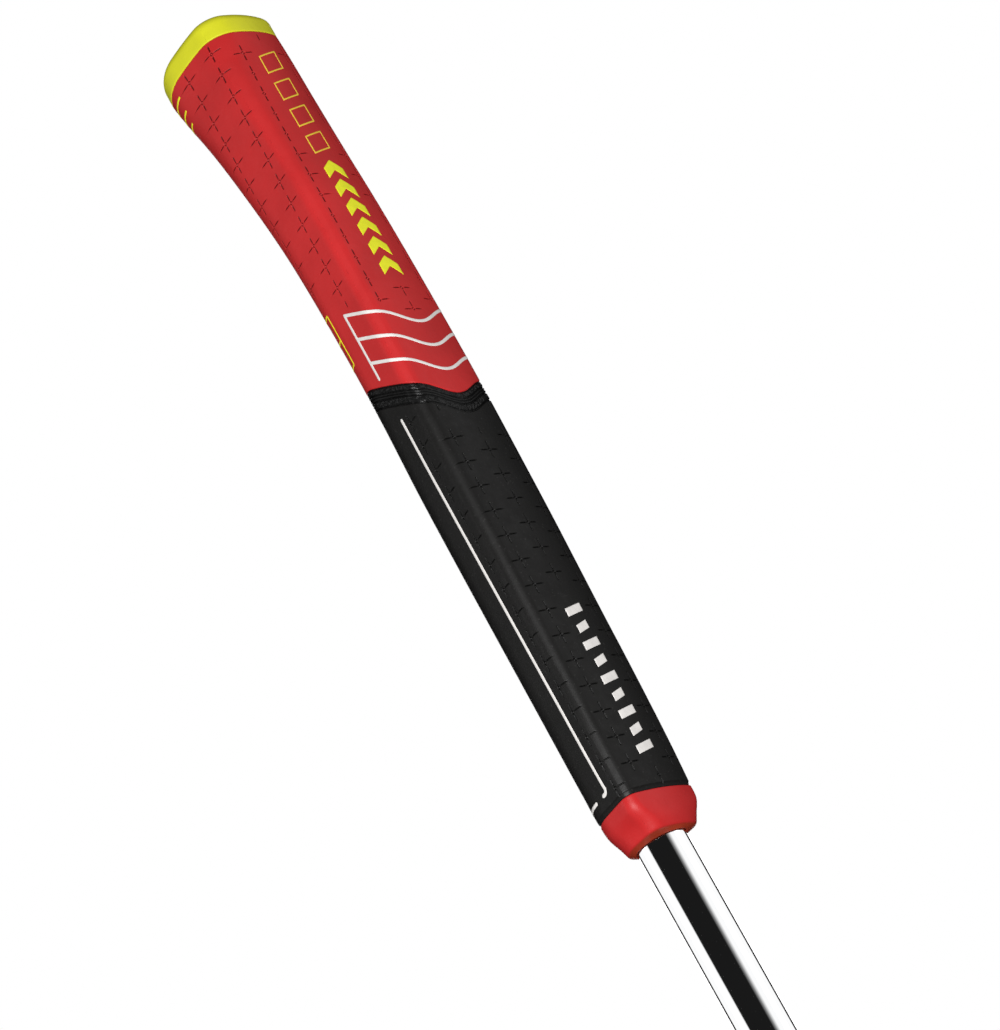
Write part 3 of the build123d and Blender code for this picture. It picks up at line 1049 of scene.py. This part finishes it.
def add_shaft():
    outside = [(SHAFT_R - 0.15, 0.0), (SHAFT_R, 0.15), (SHAFT_R, 0.4)]
    inside = [(SHAFT_BORE_R, 0.5), (SHAFT_BORE_R, 0.12), (SHAFT_BORE_R + 0.12, 0.0)]
    profile = [(radius, SHAFT_TOP - step) for radius, step in inside + outside]
    profile += [(SHAFT_R, height) for height in np.linspace(SHAFT_TOP - 10, SHAFT_LOW + 10, 30)]
    profile += [(radius, SHAFT_LOW + step) for radius, step in outside[::-1] + inside[::-1]]
    write_object("shaft_tube", [lathe(profile, 192)], MATERIALS["steel"], "shaft", "shaft")


def add_tape():
    """Spiral wrap: each turn laps over the last by a thin step."""
    pitch, segments, rows = 18.0, 96, 700
    lap_height, lap_share, ramp = 0.06, 0.12, 0.02
    angles = np.linspace(0, 2 * math.pi, segments, endpoint=False)
    heights = np.linspace(TAPE_LOW, SHAFT_TOP, rows)
    turn = (heights[:, None] / pitch + angles / (2 * math.pi)) % 1.0
    rise = np.clip(turn / ramp, 0, 1)
    fall = np.clip((lap_share + ramp - turn) / ramp, 0, 1)
    lap = lap_height * np.where(turn < lap_share, rise, fall)
    radius = TAPE_R - 0.08 + lap
    radius[[0, -1]] = SHAFT_R + 0.02
    outer = circle_points(radius, angles, heights[:, None])
    inner = np.stack([circle_points(SHAFT_R, angles, SHAFT_TOP), circle_points(SHAFT_R, angles, TAPE_LOW)])
    parts = [loop_grid(np.concatenate([outer, inner]))]
    write_object("tape_wrap", parts, MATERIALS["tape"], "shaft", "grip_tape")


def add_liner():
    node = frame["nodes"]["liner_tube"]
    node.data.materials.clear()
    node.data.materials.append(MATERIALS["rubber_liner"])


# --------------------------------------------------------- light and camera
def stage_mesh(name, corners, material):
    mesh = bpy.data.meshes.new(name)
    mesh.from_pydata(corners, [], [list(range(len(corners)))])
    mesh.materials.append(material)
    obj = bpy.data.objects.new(name, mesh)
    bpy.context.scene.collection.objects.link(obj)
    return obj


def reflected_surround(knots, receivers):
    """Curved wall that only the receivers' reflections see. Each knot gives (azimuth, brightness)."""
    name = "surround"
    material = bpy.data.materials.new(name)
    material.use_nodes = True
    material.cycles.emission_sampling = "NONE"
    tree = material.node_tree
    tree.nodes.remove(tree.nodes["Principled BSDF"])
    emission = tree.nodes.new("ShaderNodeEmission")
    brightness = tree.nodes.new("ShaderNodeAttribute")
    brightness.attribute_name = "brightness"
    tree.links.new(brightness.outputs["Fac"], emission.inputs["Strength"])
    tree.links.new(emission.outputs["Emission"], tree.nodes["Material Output"].inputs["Surface"])
    across = np.linspace(knots[0][0], knots[-1][0], 181)
    levels = np.interp(across, [knot[0] for knot in knots], [knot[1] for knot in knots])
    elevations = np.linspace(-80, 80, 9)
    directions = [outward_of(azimuth, elevation) for elevation in elevations for azimuth in across]
    vertices = [AIM + direction * SURROUND_DISTANCE for direction in directions]
    mesh = bpy.data.meshes.new(name)
    mesh.from_pydata(vertices, [], grid_faces(len(elevations), len(across), False, False))
    layer = mesh.attributes.new("brightness", "FLOAT", "POINT")
    layer.data.foreach_set("value", np.tile(levels, len(elevations)).astype(np.float32))
    mesh.materials.append(material)
    wall = bpy.data.objects.new(name, mesh)
    bpy.context.scene.collection.objects.link(wall)
    wall.light_linking.receiver_collection = receivers
    wall.visible_camera = False
    wall.visible_diffuse = False
    wall.visible_transmission = False
    wall.visible_volume_scatter = False
    wall.visible_shadow = False


def outward_of(azimuth, elevation):
    """Unit vector away from the object. Azimuth 0 is in front of the thumb face."""
    a, e = math.radians(azimuth), math.radians(elevation)
    return Vector((math.sin(a) * math.cos(e), -math.cos(a) * math.cos(e), math.sin(e)))


def area_light(name, azimuth, elevation, distance, size, power, only_for=None):
    light = bpy.data.lights.new(name, "AREA")
    light.shape = "RECTANGLE"
    light.size, light.size_y = size
    light.energy = power
    obj = bpy.data.objects.new(name, light)
    bpy.context.scene.collection.objects.link(obj)
    out = outward_of(azimuth, elevation)
    obj.location = AIM + out * distance
    obj.rotation_euler = out.to_track_quat("Z", "Y").to_euler()
    if only_for is not None:
        obj.light_linking.receiver_collection = only_for


def add_world():
    """White surroundings with their own brightness for the camera, for reflections and for diffuse light."""
    world = bpy.data.worlds.new("studio")
    bpy.context.scene.world = world
    world.use_nodes = True
    tree = world.node_tree
    background = tree.nodes["Background"]
    background.inputs["Color"].default_value = (1, 1, 1, 1)
    path = tree.nodes.new("ShaderNodeLightPath")
    previous = None
    for ray, level in (("Is Glossy Ray", WORLD_MIRRORED), ("Is Diffuse Ray", WORLD_LIGHTING)):
        strength = tree.nodes.new("ShaderNodeMapRange")
        strength.inputs["To Min"].default_value = WORLD_SEEN
        strength.inputs["To Max"].default_value = level
        if previous is not None:
            tree.links.new(previous, strength.inputs["To Min"])
        tree.links.new(path.outputs[ray], strength.inputs["Value"])
        previous = strength.outputs["Result"]
    tree.links.new(previous, background.inputs["Strength"])


def add_stage():
    pale = Shader("floor_pale", (0.9, 0.9, 0.9), 0.8, specular=0.2)
    pale.bump((pale.noise(40, 3), 0.4))
    signs = ((-1, -1), (1, -1), (1, 1), (-1, 1))
    corners = [(x * FLOOR_HALF_SIZE, y * FLOOR_HALF_SIZE, FLOOR_HEIGHT) for x, y in signs]
    light_floor(stage_mesh("floor", corners, pale.material))
    knots = [(VIEW_AZIMUTH + turn, brightness) for turn, brightness in SURROUND_KNOTS]
    reflected_surround(knots, pieces_on("shaft"))
    add_world()
    grip_only = pieces_on("grip")
    area_light("key", VIEW_AZIMUTH - 3, -18, 0.7, (0.32, 0.3), KEY_POWER, grip_only)
    area_light("fill_left", VIEW_AZIMUTH - 85, 10, 1.8, (0.8, 1.2), FILL_POWER)
    area_light("fill_right", VIEW_AZIMUTH + 90, 15, 1.8, (0.8, 1.2), FILL_POWER)
    area_light("fill_back", VIEW_AZIMUTH + 180, 20, 1.5, (0.8, 1.2), BACK_POWER)


def light_floor(floor):
    """Even light for the floor alone, which gives none of it back to the object."""
    floor.visible_diffuse = False
    floor.visible_glossy = False
    group = bpy.data.collections.new("floor_only")
    group.objects.link(floor)
    sun = bpy.data.lights.new("floor_sun", "SUN")
    sun.energy = FLOOR_SUN
    sun.angle = math.radians(30)
    lamp = bpy.data.objects.new("floor_sun", sun)
    bpy.context.scene.collection.objects.link(lamp)
    lamp.light_linking.receiver_collection = group


def pieces_on(body):
    """Collection of everything that rides on a body, for lights that serve only those pieces."""
    group = bpy.data.collections.new(f"{body}_pieces")
    for piece in bpy.data.objects:
        if piece.get("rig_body") == body:
            group.objects.link(piece)
    return group


def add_camera():
    camera_data = bpy.data.cameras.new("camera")
    camera_data.sensor_width = 36
    camera_data.lens = FOCAL_MM
    camera_data.clip_end = 20
    camera = bpy.data.objects.new("camera", camera_data)
    bpy.context.scene.collection.objects.link(camera)
    azimuth, roll = math.radians(VIEW_AZIMUTH), math.radians(VIEW_ROLL)
    back = outward_of(VIEW_AZIMUTH, VIEW_ELEVATION)
    level_right = Vector((math.cos(azimuth), math.sin(azimuth), 0))
    level_up = back.cross(level_right)
    right = level_right * math.cos(roll) - level_up * math.sin(roll)
    up = level_right * math.sin(roll) + level_up * math.cos(roll)
    target = (Vector((0, 0, DATUM_Z + VIEW_HEIGHT)) + level_right * VIEW_SIDE_STEP) * MM
    turn = Matrix((right, up, back)).transposed().to_4x4()
    camera.matrix_world = Matrix.Translation(target + back * VIEW_DISTANCE * MM) @ turn
    bpy.context.scene.camera = camera


add_upper_sleeve()
add_lower_sleeve()
add_band()
add_collar()
add_cap()
add_line_paint()
add_face_paint()
add_shaft()
add_tape()
add_liner()
add_stage()
add_camera()
bpy.context.scene.view_settings.view_transform = "Standard"
